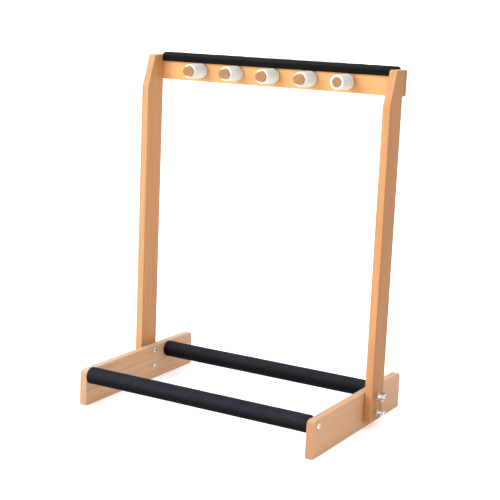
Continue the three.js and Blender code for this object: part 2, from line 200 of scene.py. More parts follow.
class Graph:
    """A node tree that is written as expressions on its sockets."""

    def __init__(self, tree):
        self.tree = tree

    def node(self, kind, settings=None, sockets=None, out=0):
        made = self.tree.nodes.new(kind)
        for name, value in (settings or {}).items():
            setattr(made, name, value)
        for key, value in (sockets or {}).items():
            if isinstance(value, Socket):
                self.tree.links.new(value.output, made.inputs[key])
            else:
                made.inputs[key].default_value = value
        return Socket(self, made.outputs[out])

    def math(self, operation, *values):
        return self.node("ShaderNodeMath", {"operation": operation}, dict(enumerate(values)))

    def split(self, vector):
        parts = self.node("ShaderNodeSeparateXYZ", sockets={0: vector}).output.node
        return [Socket(self, output) for output in parts.outputs]

    def join(self, x, y, z):
        return self.node("ShaderNodeCombineXYZ", sockets={0: x, 1: y, 2: z})


print("node helpers ready")

# %% [markdown]
# ## Finishes in general
#
# Every finish is a Principled shader whose colour, roughness and bump come from patterns
# in the object's own coordinates. Such a pattern runs through a piece like real grain, so
# an edge and the face beside it agree, and it needs no image.

# %% A finish's skeleton


class Finish(Graph):
    """A material with one Principled shader."""

    def __init__(self, name):
        self.material = bpy.data.materials.new(name)
        self.material.use_nodes = True
        super().__init__(self.material.node_tree)
        self.tree.nodes.clear()
        self.shader = self.tree.nodes.new("ShaderNodeBsdfPrincipled")
        output = self.tree.nodes.new("ShaderNodeOutputMaterial")
        self.tree.links.new(self.shader.outputs[0], output.inputs[0])
        self.place = self.node("ShaderNodeTexCoord", out="Object")

    def set(self, **values):
        """Sets or links the shader's sockets, such as base_color or coat_weight."""
        for name, value in values.items():
            title = name.replace("_", " ").title().replace("Ior", "IOR")
            socket = self.shader.inputs[title]
            if isinstance(value, Socket):
                self.tree.links.new(value.output, socket)
            else:
                socket.default_value = value

    def mix(self, factor, first, second, blend="MIX"):
        return self.node("ShaderNodeMix", {"data_type": "RGBA", "blend_type": blend},
                         {0: factor, 6: first, 7: second}, out=2)

    def noise(self, place, scale, detail=2.0, roughness=0.5):
        return self.node("ShaderNodeTexNoise", None,
                         {"Vector": place, "Scale": scale, "Detail": detail,
                          "Roughness": roughness})

    def cells(self, place, scale, out="Distance"):
        return self.node("ShaderNodeTexVoronoi", None, {"Vector": place, "Scale": scale},
                         out=out)

    def bump(self, height, depth, strength):
        """A normal for a surface that rises by height times depth, in metres."""
        return self.node("ShaderNodeBump", None,
                         {"Strength": strength, "Distance": depth, "Height": height})

    def attribute(self, name):
        return self.node("ShaderNodeAttribute", {"attribute_name": name}, out="Fac")


def tone(red, green, blue):
    """A colour from its 0 to 255 screen values, as the linear values that nodes use."""
    def linear(value):
        share = value / 255
        return share / 12.92 if share <= 0.04045 else ((share + 0.055) / 1.055) ** 2.4
    return (linear(red), linear(green), linear(blue), 1.0)


paper = Finish("white_paper")
paper.set(base_color=paper.mix(paper.noise(paper.place, 0.6), tone(240, 247, 251),
                               tone(242, 249, 253)), roughness=0.95,
          emission_color=(1, 1, 1, 1), emission_strength=FLOOR_GLOW)
floor.data.materials.append(paper.material)
print("finish helpers ready")

# %% [markdown]
# ## Beech
#
# Steamed beech is pinkish tan, with faint growth rings that come and go, and with short
# dark dashes along the grain where its rays are cut. The rings are cylinders round a heart
# that lies outside the board, so the faces show lines and the sawn ends show arcs without
# being told to. Boards from different trunks differ, and some are more streaked. A board
# has three tones, for its edges, its broad faces and its sawn ends, and the figure of the
# wood is multiplied with them. The tones are partly the wood's own colour and partly
# painted shade: a face that looks away from the lamp, such as a post's side, gets a darker
# tone, and one that looks up to it gets a lighter one. Two attributes on a board's faces say
# which of these tones is needed, and one on its points says where its edge is eased, which
# is painted paler, partly as wear and partly as a painted highlight.

# %% Beech
RING_WIDTH = 0.0034
RING_WANDER = 0.012
RING_UNEVENNESS = 3
RAY_LENGTH = 0.0042
RAY_WIDTH = 0.00055
PORE_WIDTH = 0.00035
GRAIN_RELIEF = 0.00006
PALE_FIGURE = (1.06, 1.06, 1.05, 1.0)
MID_FIGURE = (0.98, 0.97, 0.96, 1.0)
DARK_FIGURE = (0.70, 0.60, 0.50, 1.0)
STREAK_FIGURE = (0.88, 0.84, 0.79, 1.0)
WORN_AND_HIGHLIGHT_FIGURE = (1.16, 1.18, 1.20, 1.0)


def beech(name, along, heart, streaks, edge, broad, sawn_end):
    """Beech with its grain along one axis. Its heart is a place in the other two axes, and
    streaks says how strongly its darker streaks show."""
    wood = Finish(name)
    x, y, z = wood.split(wood.place)
    length, second, third = {"X": (x, y, z), "Y": (y, z, x), "Z": (z, x, y)}[along]
    wander = (wood.noise(wood.join(length * 0.12, second, third), 22.0) - 0.5) * RING_WANDER
    across = second - heart[0] + wander
    deep = third - heart[1] + wander * 0.6
    radius = (across * across + deep * deep) ** 0.5
    season = wood.noise(wood.join(radius, 0.0, 0.0), 90.0)
    ring = wood.math("FRACT", radius / RING_WIDTH + season * RING_UNEVENNESS)
    late_wood = ring.step(0.45, 0.9) * (1 - ring.step(0.92, 1.0)) * season.step(0.35, 0.6)
    shade = wood.noise(wood.join(length * 0.06, second, third), 60.0, 3.0)
    streak = wood.noise(wood.join(length * 0.04, second, third), 150.0, 3.0)
    fibre = wood.noise(wood.join(length * 0.02, second, third), 1500.0, 3.0, 0.6)
    ray_place = wood.join(length / RAY_LENGTH, second / RAY_WIDTH, third / RAY_WIDTH)
    chosen = wood.split(wood.cells(ray_place, 1.0, "Color"))[0]
    ray = (1 - wood.cells(ray_place, 1.0).step(0.10, 0.32)) * chosen.step(0.55, 0.65)
    sawn = wood.attribute("sawn_end")
    pore = (1 - wood.cells(wood.place, 1 / PORE_WIDTH).step(0.12, 0.35)) * sawn
    # Face tones: the board's own colour with painted shade, darker on faces turned from the
    # lamp and lighter on faces that look up to it.
    tone_with_painted_shade = wood.mix(wood.attribute("broad_face"), edge, broad)
    tone_with_painted_shade = wood.mix(sawn, tone_with_painted_shade, sawn_end)
    figure = wood.mix(shade.step(0.3, 0.72), PALE_FIGURE, MID_FIGURE)
    figure = wood.mix(streak.step(0.42, 0.68) * streaks, figure, STREAK_FIGURE)
    figure = wood.mix(late_wood * 0.16 + (fibre - 0.5) * 0.4, figure, DARK_FIGURE)
    figure = wood.mix(ray * 0.4 + pore * 0.3, figure, DARK_FIGURE)
    # Eased edges are painted paler: partly wear, partly a painted highlight where they catch
    # the light.
    figure = wood.mix(wood.attribute("eased_edge") * 0.5, figure, WORN_AND_HIGHLIGHT_FIGURE)
    wood.set(base_color=wood.mix(1.0, tone_with_painted_shade, figure, "MULTIPLY"),
             roughness=fibre * 0.12 + sawn * 0.12 + 0.4,
             specular_ior_level=0.15, coat_weight=0.03, coat_roughness=0.3,
             normal=wood.bump(fibre * 0.4 - ray * 0.5 - pore * 0.6, GRAIN_RELIEF, 0.6))
    return wood.material


# Each board's tones hold painted shade as well as its colour: the right post's sides, which
# look away from the lamp, are the darkest, and the posts' tops are lighter.
BEECH = {
    "left_foot": beech("left_foot_beech", "Y", heart=(-0.045, 0.020), streaks=0.8,
                       edge=tone(198, 168, 142), broad=tone(191, 148, 115),
                       sawn_end=tone(168, 136, 109)),
    "right_foot": beech("right_foot_beech", "Y", heart=(0.140, -0.030), streaks=0.2,
                        edge=tone(191, 151, 115), broad=tone(179, 135, 102),
                        sawn_end=tone(161, 117, 84)),
    "left_post": beech("left_post_beech", "Z", heart=(0.030, -0.060), streaks=0.7,
                       edge=tone(177, 135, 94), broad=tone(179, 125, 81),
                       sawn_end=tone(198, 160, 124)),
    "right_post": beech("right_post_beech", "Z", heart=(-0.040, 0.160), streaks=0.7,
                        edge=tone(176, 126, 83), broad=tone(155, 101, 52),
                        sawn_end=tone(198, 160, 124)),
    "rail": beech("rail_beech", "X", heart=(0.030, 0.560), streaks=0.2,
                  edge=tone(185, 138, 92), broad=tone(206, 150, 96),
                  sawn_end=tone(145, 95, 58)),
    "dowel": beech("dowel_beech", "Y", heart=(0.600, -0.020), streaks=0.2,
                   edge=tone(184, 139, 92), broad=tone(184, 139, 92),
                   sawn_end=tone(147, 105, 68)),
}
print("beech ready for", ", ".join(BEECH))

# %% [markdown]
# ## Foam
#
# The black foam is closed-cell rubber with a matt skin: fine pits, a faint blue-grey
# sheen, and long soft streaks from the extruder. The bars' foam and the rail's cover are
# painted darker below than above: painted shade underneath, where less light reaches, and
# on the cover a painted highlight along its top. The cover is the deeper black. The white
# sleeves are a finer foam that lets a little light in, with faint ribs round them.

# %% Foam
BLACK_CELL = 0.0007
WHITE_CELL = 0.0005
RIB_PITCH = 0.0026
STREAK_STRETCH = 0.05
FOAM_RELIEF = 0.00012
BARS_PAINTED_SHADE_ENDS = (0.051, 0.069)
COVER_PAINTED_SHADE_ENDS = (0.656, 0.661)


def foam(name, along, dark, pale, cell, ribs, painted_shade=None, painted_shade_ends=None, **constants):
    """Closed-cell foam that was extruded along one axis, with faint ribs round it. Where
    a tone of painted shade is given, the foam is painted that dark below, and the shade ends
    between the two given heights."""
    skin = Finish(name)
    places = dict(zip("XYZ", skin.split(skin.place)))
    stretched = skin.join(*[place * STREAK_STRETCH if axis == along else place
                            for axis, place in places.items()])
    streak = skin.noise(stretched, 260.0)
    patch = skin.noise(skin.place, 45.0)
    rib = skin.math("SINE", places[along] * (2 * math.pi / RIB_PITCH) + patch * 4) * ribs
    pit = 1 - skin.cells(skin.place, 1 / cell).step(0.05, 0.42)
    blend = streak.step(0.3, 0.7) * 0.5 + patch.step(0.3, 0.7) * 0.5
    colour = skin.mix(blend - pit * 0.35 + rib, dark, pale)
    if painted_shade:
        # Painted shade: below the given heights the foam is painted darker, and above them
        # lighter, as the light falls on it.
        colour = skin.mix(places["Z"].step(*painted_shade_ends), painted_shade, colour)
    skin.set(base_color=colour, roughness=(streak - 0.5) * 0.12 + 0.7,
             normal=skin.bump(streak * 0.6 - pit * 0.5 + rib, FOAM_RELIEF, 0.6),
             **constants)
    return skin.material


# The tones given for below the heights are painted shade; on the cover, the lighter top is a
# painted highlight.
black_foam = foam("black_foam", "X", dark=tone(31, 31, 37), pale=tone(39, 39, 47),
                  cell=BLACK_CELL, ribs=0.0, painted_shade=tone(9, 9, 14),
                  painted_shade_ends=BARS_PAINTED_SHADE_ENDS, specular_ior_level=0.04)
cover_foam = foam("cover_foam", "X", dark=tone(24, 24, 25), pale=tone(32, 32, 33),
                  cell=BLACK_CELL, ribs=0.0, painted_shade=tone(11, 11, 12),
                  painted_shade_ends=COVER_PAINTED_SHADE_ENDS, specular_ior_level=0.06)
white_foam = foam("white_foam", "Y", dark=tone(192, 193, 187), pale=tone(209, 210, 204),
                  cell=WHITE_CELL, ribs=0.3, specular_ior_level=0.3, subsurface_weight=0.2,
                  subsurface_scale=0.002, subsurface_radius=(1, 1, 1))
print("foams ready")

# %% [markdown]
# ## Metals
#
# The bolts, washers and wing nuts are zinc-plated steel, with a slightly cloudy shine and
# fine scratches. The threaded inserts are brass. The recess in a bolt's or a screw's head
# gets little light, so an attribute marks its faces, and the finish paints them dark as
# painted shade.

# %% Metals
RECESS_SHADE_TONE = tone(52, 50, 48)
SCRATCH_RELIEF = 0.00002


def metal(name, base, dull, roughness):
    """Plated or plain metal with cloudy patches, fine scratches and recesses painted dark as
    painted shade.
    """
    plate = Finish(name)
    x, y, z = plate.split(plate.place)
    cloud = plate.noise(plate.place, 420.0, 3.0)
    scratch = plate.noise(plate.join(x, y * 0.08, z), 2600.0)
    recess = plate.attribute("recess")
    plating = plate.mix(cloud.step(0.35, 0.7), base, dull)
    # Painted shade: the faces inside a recess are painted dark, and made duller.
    plate.set(base_color=plate.mix(recess * (cloud * 0.3 + 0.75), plating, RECESS_SHADE_TONE),
              metallic=1.0, roughness=cloud * 0.16 + scratch * 0.08 + recess * 0.2 + roughness,
              normal=plate.bump(scratch, SCRATCH_RELIEF, 0.4))
    return plate.material


zinc_steel = metal("zinc_steel", base=tone(226, 226, 224), dull=tone(199, 201, 204),
                   roughness=0.16)
brass = metal("brass", base=tone(190, 162, 100), dull=tone(166, 134, 74), roughness=0.22)
print("metals ready")

# %% [markdown]
# ## Putting a piece on the model
#
# Each fine piece takes its place from the box of the solid that it stands for. It then
# rides on that solid's body, so it follows every joint, and the solid itself is hidden.
# Curved faces are shaded smoothly, but an edge that is sharper than about 35 degrees is
# marked, so that it stays crisp.

# %% Helpers for pieces
CRISP_ANGLE = math.radians(35)


def middle(node):
    low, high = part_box(node)
    return (low + high) / 2


def extent(node):
    low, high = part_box(node)
    return high - low


def piece_from(shape, name):
    """An object at the origin that holds a bmesh's shape, with its faces outwards."""
    bmesh.ops.recalc_face_normals(shape, faces=shape.faces)
    mesh = bpy.data.meshes.new(name)
    shape.to_mesh(mesh)
    shape.free()
    return add_object(name, mesh)


def settle(piece):
    """Turns what a piece's modifiers make into its own plain mesh."""
    evaluated = piece.evaluated_get(bpy.context.evaluated_depsgraph_get())
    mesh = bpy.data.meshes.new_from_object(evaluated)
    piece.modifiers.clear()
    piece.data = mesh
    return piece


def shade(piece, crisp=CRISP_ANGLE):
    """Smooth shading that keeps crisp edges crisp."""
    shape = bmesh.new()
    shape.from_mesh(piece.data)
    for face in shape.faces:
        face.smooth = True
    for edge in shape.edges:
        edge.smooth = len(edge.link_faces) == 2 and edge.calc_face_angle() < crisp
    shape.to_mesh(piece.data)
    shape.free()
    return piece


def coat(thing, material):
    """Gives an object one material in place of those that it has."""
    thing.data.materials.clear()
    thing.data.materials.append(material)


def dress(piece, material, slot, body, *nodes):
    """Gives a piece its finish and its body, and lets it stand for its solids."""
    coat(piece, material)
    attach(piece, body)
    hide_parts(*nodes)
    return piece


print("piece helpers ready")

# %% [markdown]
# ## Outlines with round corners
#
# A board is an outline with round corners, given a thickness and rounded over along its
# edges. A bevel modifier could do this, but rings of points do it exactly: each ring is
# the outline, moved inwards a little and raised a little.

# %% Outlines and rings
CORNER_STEPS = 8
SMALLEST_CORNER = 0.00004


def outline_ring(corners, inset):
    """Points of a convex outline of (x, y, radius) corners, moved inwards by inset."""
    points = []
    for index, (x, y, radius) in enumerate(corners):
        here = Vector((x, y))
        before = (Vector(corners[index - 1][:2]) - here).normalized()
        after = (Vector(corners[(index + 1) % len(corners)][:2]) - here).normalized()
        half = before.angle(after) / 2
        arc = max(radius - inset, SMALLEST_CORNER)
        centre = here + (before + after).normalized() * (inset + arc) / math.sin(half)
        start = math.atan2(before.x, -before.y)
        for step in range(CORNER_STEPS + 1):
            turn = start + (math.pi - 2 * half) * step / CORNER_STEPS
            points.append(centre + arc * Vector((math.cos(turn), math.sin(turn))))
    return points


def quarter_turns(steps):
    """Angles from zero to a right angle, in equal steps."""
    return [math.pi / 2 * step / steps for step in range(steps + 1)]


def bridge(shape, lower, upper):
    """Faces between two closed rings of as many points."""
    for index in range(len(lower)):
        shape.faces.new((lower[index - 1], lower[index], upper[index], upper[index - 1]))


def ring_edges(shape, ring):
    return [shape.edges.get((ring[index - 1], ring[index])) for index in range(len(ring))]


print("outline helpers ready")

# %% [markdown]
# ## Boards
#
# The rings of a board run from the middle of one face, round the eased edge, up the side
# and round the other edge. They also carry how much paler the finish paints them, partly
# as wear and partly as a painted highlight where the edge catches the light; this is most
# in the middle of each eased edge. A hole is a list of rings too, from face to face or down
# to a flat bottom, and the flat faces between outline and holes are filled at the end.

# %% Boards
EDGE_EASE = 0.0015
EASE_STEPS = 4
WEAR_AND_HIGHLIGHT_REACH = 0.0015
LEAST_WEAR_AND_HIGHLIGHT = 0.4
HOLE_STEPS = 40
MOUTH_EASE = 0.0003


def edge_profile(thickness):
    """(inset, height, paleness) of each ring of a board, from its lower face to its upper.
    The paleness stands for wear and a painted highlight.
    """
    rings = [(EDGE_EASE + WEAR_AND_HIGHLIGHT_REACH, 0.0, 0.0)]
    for turn in quarter_turns(EASE_STEPS):
        rings.append((EDGE_EASE * (1 - math.sin(turn)), EDGE_EASE * (1 - math.cos(turn)),
                      LEAST_WEAR_AND_HIGHLIGHT + (1 - LEAST_WEAR_AND_HIGHLIGHT) * math.sin(2 * turn)))
    rings.append((0.0, EDGE_EASE + WEAR_AND_HIGHLIGHT_REACH, 0.0))
    return rings + [(inset, thickness - height, wear_and_highlight) for inset, height, wear_and_highlight in rings[::-1]]


def circle(shape, x, y, radius, height):
    turn = 2 * math.pi / HOLE_STEPS
    return [shape.verts.new((x + radius * math.cos(turn * step),
                             y + radius * math.sin(turn * step), height))
            for step in range(HOLE_STEPS)]


def board(name, corners, thickness, holes):
    """A board from z = 0 to its thickness. A hole is (x, y, [(radius, height), ...])."""
    shape = bmesh.new()
    # How much paler each ring is painted: partly wear, partly painted highlight.
    worn_and_highlit = shape.verts.layers.float.new("eased_edge")
    loops = []
    for inset, height, wear_and_highlight in edge_profile(thickness):
        loops.append([shape.verts.new((*point, height))
                      for point in outline_ring(corners, inset)])
        for vertex in loops[-1]:
            vertex[worn_and_highlit] = wear_and_highlight
    for below, above in zip(loops, loops[1:]):
        bridge(shape, below, above)
    caps = {0.0: ring_edges(shape, loops[0]), thickness: ring_edges(shape, loops[-1])}
    for x, y, profile in holes:
        wall = [circle(shape, x, y, radius, height) for radius, height in profile]
        for below, above in zip(wall, wall[1:]):
            bridge(shape, below, above)
        for (radius, height), loop in ((profile[0], wall[0]), (profile[-1], wall[-1])):
            if height in caps:
                caps[height] += ring_edges(shape, loop)
            else:
                shape.faces.new(loop)
    for edges in caps.values():
        bmesh.ops.triangle_fill(shape, use_beauty=True, edges=edges)
    return piece_from(shape, name)


def through_hole(radius, thickness):
    """A hole from face to face, with its mouths eased a little."""
    return [(radius + MOUTH_EASE, 0.0), (radius, MOUTH_EASE),
            (radius, thickness - MOUTH_EASE), (radius + MOUTH_EASE, thickness)]


print("boards ready")

# %% [markdown]
# A board's flat faces have to stay flat to the eye although their edges are round, and
# weighted normals do that. The sawn ends are found by where the surface looks along the
# grain, and the broad faces by where it looks along the board's thickness.

# %% Finishing a board
X_AXIS, Y_AXIS, Z_AXIS = range(3)
LOOKS_ALONG_FROM = 0.45
LOOKS_ALONG_FULLY = 0.95


def mark_faces(piece, label, value_of):
    """Gives each face the number that value_of makes of it, as an attribute."""
    shape = bmesh.new()
    shape.from_mesh(piece.data)
    layer = shape.faces.layers.float.new(label)
    for face in shape.faces:
        face[layer] = value_of(face)
    shape.to_mesh(piece.data)
    shape.free()


def looking_along(axis):
    """How much a face looks along an axis, either way: 0 for not at all, 1 for fully."""
    def value_of(face):
        share = ((abs(face.normal[axis]) - LOOKS_ALONG_FROM)
                 / (LOOKS_ALONG_FULLY - LOOKS_ALONG_FROM))
        return min(1.0, max(0.0, share))
    return value_of


def finish_board(piece, grain, across, place, material, node):
    """Puts a board in place, marks its faces and lets it stand for its solid."""
    piece.data.transform(place)
    mark_faces(piece, "sawn_end", looking_along(grain))
    mark_faces(piece, "broad_face", looking_along(across))
    shade(piece)
    weighted = piece.modifiers.new("flat_faces", "WEIGHTED_NORMAL")
    weighted.keep_sharp = True
    dress(settle(piece), material, "beech", "stand", node)


print("board finishing ready")

# %% [markdown]
# ## The feet
#
# Each foot is a board on edge. Its top corners are rounded more than the bottom ones. Two
# bolts hold the post, and one bolt holds each bar. Feet and posts stand in the sides of
# the frame, so one helper makes them both: an outline seen from the side, with a hole
# wherever a measured bolt goes through.

# %% Feet
FOOT_TOP_CORNER = 0.010
FOOT_BOTTOM_CORNER = 0.003
BOLT_HOLE_RADIUS = 0.0028
FACING_X = Matrix(((0, 0, 1), (1, 0, 0), (0, 1, 0))).to_4x4()
SIDES = ("left", "right")
BOLT_PLACES = ("upper", "lower")
BARS = ("front", "rear")


def post_bolts(side):
    return [f"{side}_{place}_bolt" for place in BOLT_PLACES]


def bar_bolts(side):
    return [f"{side}_{bar}_bar_bolt" for bar in BARS]


def side_board(node, grain, corners, bolts):
    """A board in a side of the frame, with a hole for each of its bolts."""
    low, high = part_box(node)
    thickness = high.x - low.x
    holes = [(middle(bolt).y, middle(bolt).z, through_hole(BOLT_HOLE_RADIUS, thickness))
             for bolt in bolts]
    made = board(f"{node}_board", corners, thickness, holes)
    finish_board(made, grain, X_AXIS, Matrix.Translation((low.x, 0, 0)) @ FACING_X,
                 BEECH[node], node)
    print(made.name, len(made.data.vertices), "points")


for side in SIDES:
    low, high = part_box(f"{side}_foot")
    corners = [(low.y, low.z, FOOT_BOTTOM_CORNER), (high.y, low.z, FOOT_BOTTOM_CORNER),
               (high.y, high.z, FOOT_TOP_CORNER), (low.y, high.z, FOOT_TOP_CORNER)]
    side_board(f"{side}_foot", Y_AXIS, corners, post_bolts(side) + bar_bolts(side))

# %% [markdown]
# ## The posts
#
# A post is straight at the back. At the front it slopes back to a narrow top, so its
# outline has five corners. Its two ends show end grain.

# %% Posts
POST_CORNER = 0.002
POST_TOP_DEPTH = 0.030
POST_SLOPE_HEIGHT = 0.063

for side in SIDES:
    low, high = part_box(f"{side}_post")
    corners = [(low.y, low.z), (high.y, low.z), (high.y, high.z),
               (high.y - POST_TOP_DEPTH, high.z), (low.y, high.z - POST_SLOPE_HEIGHT)]
    side_board(f"{side}_post", Z_AXIS, [(y, z, POST_CORNER) for y, z in corners],
               post_bolts(side))

# %% [markdown]
# ## The rail
#
# The rail lies behind the posts and is as long as the stand is wide over them. The pegs
# sit in blind holes in its front, and its screws are sunk into its back.

# %% Rail
RAIL_CORNER = 0.003
PEG_SEAT_DEPTH = 0.0102
PEG_HOLE_RADIUS = 0.0093
SCREW_HOLE_RADIUS = 0.0023
SCREW_MOUTH_RADIUS = 0.0043
SCREW_SINK = 0.0027
FACING_Y = Matrix(((1, 0, 0), (0, 0, -1), (0, 1, 0))).to_4x4()
PEGS = [f"peg_{number}" for number in range(1, 6)]
SCREWS = [f"{side}_rail_screw_{number}" for side in SIDES for number in (1, 2)]

low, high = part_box("top_rail")
thickness = high.y - low.y
peg_seat = [(PEG_HOLE_RADIUS, thickness - PEG_SEAT_DEPTH),
            (PEG_HOLE_RADIUS, thickness - MOUTH_EASE),
            (PEG_HOLE_RADIUS + MOUTH_EASE, thickness)]
screw_seat = [(SCREW_MOUTH_RADIUS, 0.0),
              (SCREW_MOUTH_RADIUS, SCREW_SINK - SCREW_MOUTH_RADIUS + SCREW_HOLE_RADIUS),
              (SCREW_HOLE_RADIUS, SCREW_SINK), (SCREW_HOLE_RADIUS, thickness)]
holes = [(middle(peg).x, middle(peg).z, peg_seat) for peg in PEGS]
holes += [(middle(screw).x, middle(screw).z, screw_seat) for screw in SCREWS]
corners = [(low.x, low.z), (high.x, low.z), (high.x, high.z), (low.x, high.z)]
rail = board("rail_board", [(x, z, RAIL_CORNER) for x, z in corners], thickness, holes)
finish_board(rail, X_AXIS, Y_AXIS, Matrix.Translation((0, high.y, 0)) @ FACING_Y,
             BEECH["rail"], "top_rail")
print(rail.name, len(rail.data.vertices), "points")

# %% [markdown]
# ## A Geometry Nodes tree in Python
#
# Foam tubes, rows of pegs, bolts and threads all follow a rule, so nodes make them. A
# tree gets named inputs for its sizes. A modifier then sets each input by its socket's
# identifier, and the result is turned into a plain mesh.

# %% Helper for node trees
SOCKET_KINDS = {float: "NodeSocketFloat", int: "NodeSocketInt", type(None): "NodeSocketObject"}


class Recipe(Graph):
    """A Geometry Nodes tree with named inputs, whose defaults are given here."""

    def __init__(self, name, **defaults):
        super().__init__(bpy.data.node_groups.new(name, "GeometryNodeTree"))
        plan = self.tree.interface
        plan.new_socket("Geometry", in_out="OUTPUT", socket_type="NodeSocketGeometry")
        plan.new_socket("Geometry", in_out="INPUT", socket_type="NodeSocketGeometry")
        for label, value in defaults.items():
            made = plan.new_socket(label, in_out="INPUT", socket_type=SOCKET_KINDS[type(value)])
            if value is not None:
                made.default_value = value
        plan.new_socket("material", in_out="INPUT", socket_type="NodeSocketMaterial")
        self.inputs = self.tree.nodes.new("NodeGroupInput")

    def given(self, label):
        return Socket(self, self.inputs.outputs[label])

    def end(self, geometry):
        """Ends the tree with real faces, smooth shading and the given material."""
        real = self.node("GeometryNodeRealizeInstances", sockets={0: geometry})
        smooth = self.node("GeometryNodeSetShadeSmooth", sockets={0: real})
        done = self.node("GeometryNodeSetMaterial", None,
                         {"Geometry": smooth, "Material": self.given("material")})
        output = self.tree.nodes.new("NodeGroupOutput")
        self.tree.links.new(done.output, output.inputs[0])

    def make(self, name, base=None, **values):
        """Runs the tree on a mesh, or on nothing, and returns the piece that it makes."""
        piece = add_object(name, base or bpy.data.meshes.new(name))
        modifier = piece.modifiers.new(self.tree.name, "NODES")
        modifier.node_group = self.tree
        for item in self.tree.interface.items_tree:
            if item.in_out == "INPUT" and item.name in values:
                modifier[item.identifier] = values[item.name]
        return settle(piece)


print("recipe helper ready")

# %% [markdown]
# ## The foam tube recipe
#
# A foam tube is the cut through its wall, a rectangle with round corners, swept round a
# circle. Made that way it has rounded ends and a bore in one closed skin. The tree then
# makes its front end thinner by `taper`, and lets the outside wander by a fraction of a
# millimetre, as soft foam does. The bore stays true, because it slides on a peg.

# %% The foam tube recipe
CORNER_POINTS = 6
RIPPLE_STRETCH = 0.4
tube = Recipe("foam_tube", length=0.4, outer=0.016, inner=0.0112, ease=0.0012, taper=0.0,
              wander=0.0002, ripple_size=0.02, rings=40, sides=96, seed=0.0)


def write_tube(recipe):
    outer, inner, length = (recipe.given(label) for label in ("outer", "inner", "length"))
    path = recipe.node("GeometryNodeCurvePrimitiveCircle", None,
                       {"Resolution": recipe.given("sides"), "Radius": (outer + inner) * 0.5})
    wall = recipe.node("GeometryNodeCurvePrimitiveQuadrilateral", None,
                       {"Width": outer - inner, "Height": length})
    eased = recipe.node("GeometryNodeFilletCurve", {"mode": "POLY"},
                        {"Curve": wall, "Count": CORNER_POINTS - 1,
                         "Radius": recipe.given("ease")})
    order = recipe.math("FLOORED_MODULO", recipe.node("GeometryNodeInputIndex"),
                        CORNER_POINTS)
    is_side = recipe.math("COMPARE", order, CORNER_POINTS - 1, 0.5)
    parted = recipe.node("GeometryNodeSubdivideCurve", None,
                         {"Curve": eased, "Cuts": is_side * recipe.given("rings")})
    skin = recipe.node("GeometryNodeCurveToMesh", None,
                       {"Curve": path, "Profile Curve": parted})
    x, y, z = recipe.split(recipe.node("GeometryNodeInputPosition"))
    radius = (x * x + y * y) ** 0.5
    share = recipe.math("MINIMUM", (radius - inner) / (outer - inner), 1.0)
    seed = recipe.given("seed")
    size = recipe.given("ripple_size")
    ripple = recipe.node("ShaderNodeTexNoise", None,
                         {"Vector": recipe.join(x / size + seed, y / size,
                                                z / size * RIPPLE_STRETCH),
                          "Scale": 1.0, "Detail": 1.0})
    change = (ripple - 0.5) * recipe.given("wander") + recipe.given("taper") * z / length
    push = change * share / radius
    moved = recipe.node("GeometryNodeSetPosition", None,
                        {"Geometry": skin, "Offset": recipe.join(x * push, y * push, 0.0)})
    recipe.end(moved)


write_tube(tube)
print("tube recipe has", len(tube.tree.nodes), "nodes")

# %% [markdown]
# ## The bars' foam
#
# Both bars are pipes of black foam over a wooden core. They are cut a hair shorter than
# the space between the feet. The core shows nowhere, so its measured solid stays, in
# beech. The pipes, the pegs' sleeves and the washers are all tubes that fill the place of
# a measured solid, so one helper fits the recipe to the solid's box.

# %% Foam on the bars
CORE_ROOM = 0.0003
BAR_EASE = 0.0016
BAR_WANDER = 0.0005
BAR_RIPPLE = 0.016
BAR_RINGS = 90
ALONG_X = Matrix(((0, 0, 1), (0, 1, 0), (-1, 0, 0))).to_4x4()


def fitted_tube(name, node, axis, direction, taper=0.0, **values):
    """A tube in the place of a solid. The direction turns it from +Z to that axis."""
    low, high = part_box(node)
    made = tube.make(name, length=high[axis] - low[axis], taper=taper,
                     outer=(high.z - low.z - taper) / 2, **values)
    made.data.transform(Matrix.Translation((low + high) / 2) @ direction)
    return made


for seed, bar in enumerate(BARS):
    pipe = fitted_tube(f"{bar}_bar_pipe", f"{bar}_bar_foam", X_AXIS, ALONG_X,
                       inner=extent(f"{bar}_bar_core").z / 2 + CORE_ROOM, ease=BAR_EASE,
                       wander=BAR_WANDER, ripple_size=BAR_RIPPLE, rings=BAR_RINGS,
                       seed=float(seed), material=black_foam)
    dress(pipe, black_foam, "black_foam", "stand", f"{bar}_bar_foam")
    coat(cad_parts[f"{bar}_bar_core"], BEECH["dowel"])
    print(pipe.name, len(pipe.data.vertices), "points")

# %% [markdown]
# ## The pegs' sleeves
#
# Five white foam sleeves slide on the pegs. They are a little thinner in front, where
# they were pulled on. Each has its own ripples, and rides on its own body.

# %% Sleeves
PEG_ROOM = 0.0003
SLEEVE_TAPER = 0.0005
SLEEVE_EASE = 0.0013
SLEEVE_WANDER = 0.0004
SLEEVE_RIPPLE = 0.009
SLEEVE_RINGS = 20
ALONG_Y = Matrix(((1, 0, 0), (0, 0, 1), (0, -1, 0))).to_4x4()

for number, peg in enumerate(PEGS, start=1):
    sleeve = fitted_tube(f"sleeve_tube_{number}", f"peg_sleeve_{number}", Y_AXIS, ALONG_Y,
                         taper=SLEEVE_TAPER, inner=extent(peg).z / 2 + PEG_ROOM,
                         ease=SLEEVE_EASE, wander=SLEEVE_WANDER, ripple_size=SLEEVE_RIPPLE,
                         rings=SLEEVE_RINGS, seed=10.0 * number, material=white_foam)
    dress(sleeve, white_foam, "white_foam", f"sleeve_{number}", f"peg_sleeve_{number}")
print("five sleeves of", len(sleeve.data.vertices), "points")

# %% [markdown]
# ## The rail's foam cover
#
# A channel of black foam is pushed over the rail's top edge between the posts. Its cut
# has the shape of a narrow U with round shoulders. It is lofted: the U is drawn at many
# places along the rail, closer together, thinner and lower near the two cut ends, and
# every U is joined to the next. A little noise keeps the long soft surface from being
# perfect.

